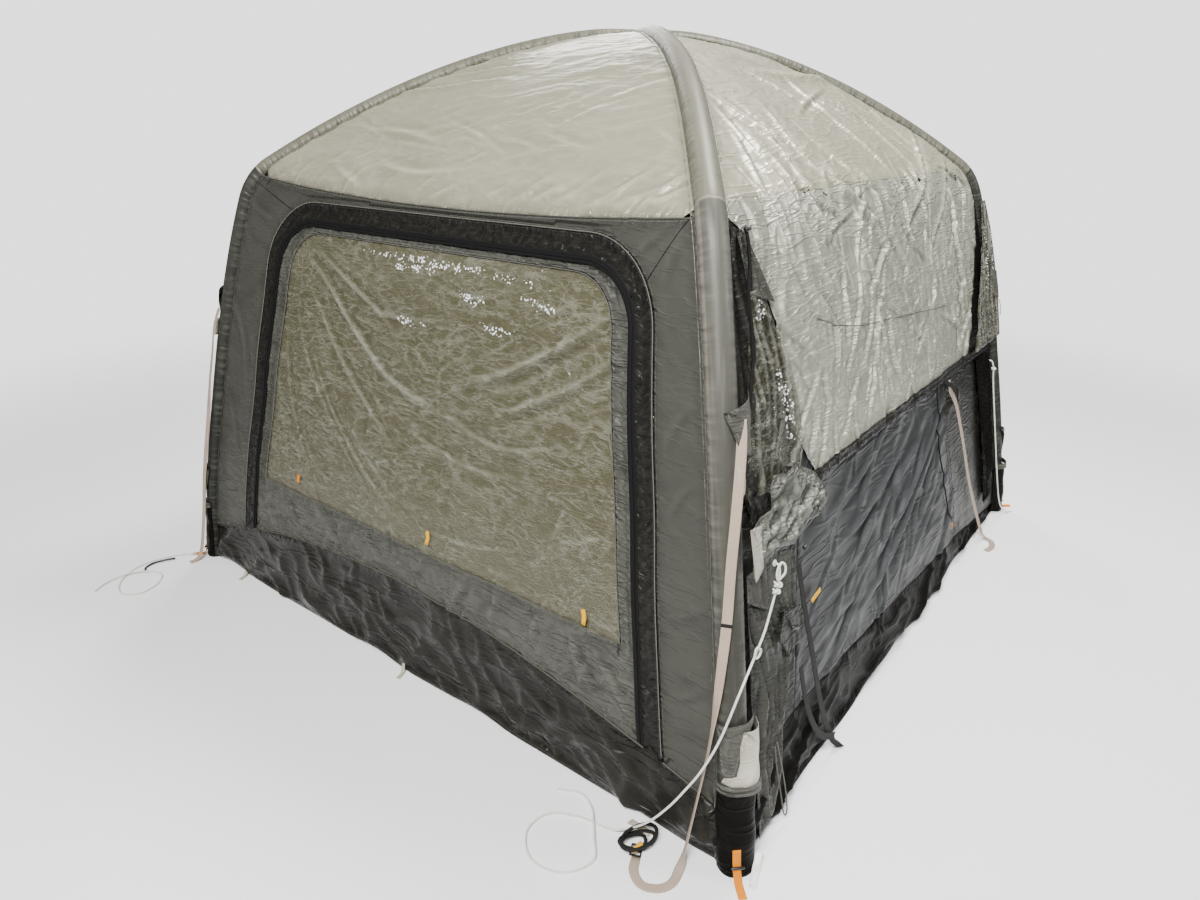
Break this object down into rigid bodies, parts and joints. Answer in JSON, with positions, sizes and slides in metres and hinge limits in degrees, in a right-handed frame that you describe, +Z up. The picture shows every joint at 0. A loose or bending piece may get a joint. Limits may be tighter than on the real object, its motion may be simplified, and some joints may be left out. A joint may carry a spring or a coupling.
{
  "type": "inflatable drive-away awning",
  "caption": "Free-standing air-beam shelter with crossed corner-to-corner beams, domed fabric roof, window walls, mud skirts and a connecting tunnel hanging down one side.",
  "frame": {"origin": "on the ground at the centre of the footprint", "axes": "+Z up, -Y out of the wall with the big window, +X out of the wall that the tunnel hangs down"},
  "size_m": [2.8423, 3.2518, 2.112],
  "materials": {
    "roof_cloth": "coated polyester, silver beige, slight sheen",
    "wall_cloth": "coated polyester, mid grey",
    "sleeve_cloth": "heavy polyester sleeve, warm grey",
    "skirt_cloth": "black coated cloth, shiny",
    "zip_cover": "black crinkled cloth",
    "clear_window": "clear flexible sheet",
    "curtain_cloth": "olive khaki curtain cloth",
    "slate_cloth": "dark slate polyester",
    "tunnel_cloth": "silver grey polyester",
    "webbing": "pale pinkish beige webbing",
    "dark_webbing": "black webbing",
    "peg_webbing": "orange webbing",
    "buckle_plastic": "yellow and grey plastic",
    "guy_line": "white cord"
  },
  "bodies": {
    "root": {"apex_cap": "sleeve_cloth", "roof_beam_front_left": "sleeve_cloth", "roof_beam_front_right": "sleeve_cloth", "roof_beam_back_right": "sleeve_cloth", "roof_beam_back_left": "sleeve_cloth", "leg_beam_front_left": "sleeve_cloth", "leg_beam_front_right": "sleeve_cloth", "leg_beam_back_right": "sleeve_cloth", "leg_beam_back_left": "sleeve_cloth", "roof_front": "roof_cloth", "roof_right": "roof_cloth", "roof_back": "roof_cloth", "roof_left": "roof_cloth", "front_wall_surround": "wall_cloth", "front_zip_band": "zip_cover", "front_door_panel": "wall_cloth", "front_window": "clear_window", "front_curtain": "curtain_cloth", "front_skirt": "skirt_cloth", "back_wall_surround": "wall_cloth", "back_door_panel": "wall_cloth", "back_window": "clear_window", "back_skirt": "skirt_cloth", "left_wall_surround": "wall_cloth", "left_door_panel": "wall_cloth", "left_window": "clear_window", "left_skirt": "skirt_cloth", "right_wall_surround": "wall_cloth", "right_door_panel": "slate_cloth", "right_skirt": "skirt_cloth", "tunnel_roof": "tunnel_cloth", "tunnel_beading_strip": "zip_cover", "tunnel_near_gusset": "wall_cloth", "tunnel_near_window": "clear_window", "tunnel_near_flap": "tunnel_cloth", "tunnel_near_side": "wall_cloth", "tunnel_far_window": "clear_window", "tunnel_far_side": "skirt_cloth", "storm_strap_front_left": "webbing", "storm_strap_front_right": "webbing", "storm_strap_back_right": "webbing", "storm_strap_back_left": "webbing", "tunnel_strap_far": "webbing", "tunnel_strap_near": "dark_webbing", "peg_strap_front_left": "peg_webbing", "peg_strap_front_right": "peg_webbing", "peg_strap_back_right": "peg_webbing", "peg_strap_back_left": "peg_webbing", "guy_line_near": "guy_line", "guy_line_left": "guy_line", "guy_line_far": "guy_line", "strap_buckle": "buckle_plastic"}
  },
  "joints": []
}
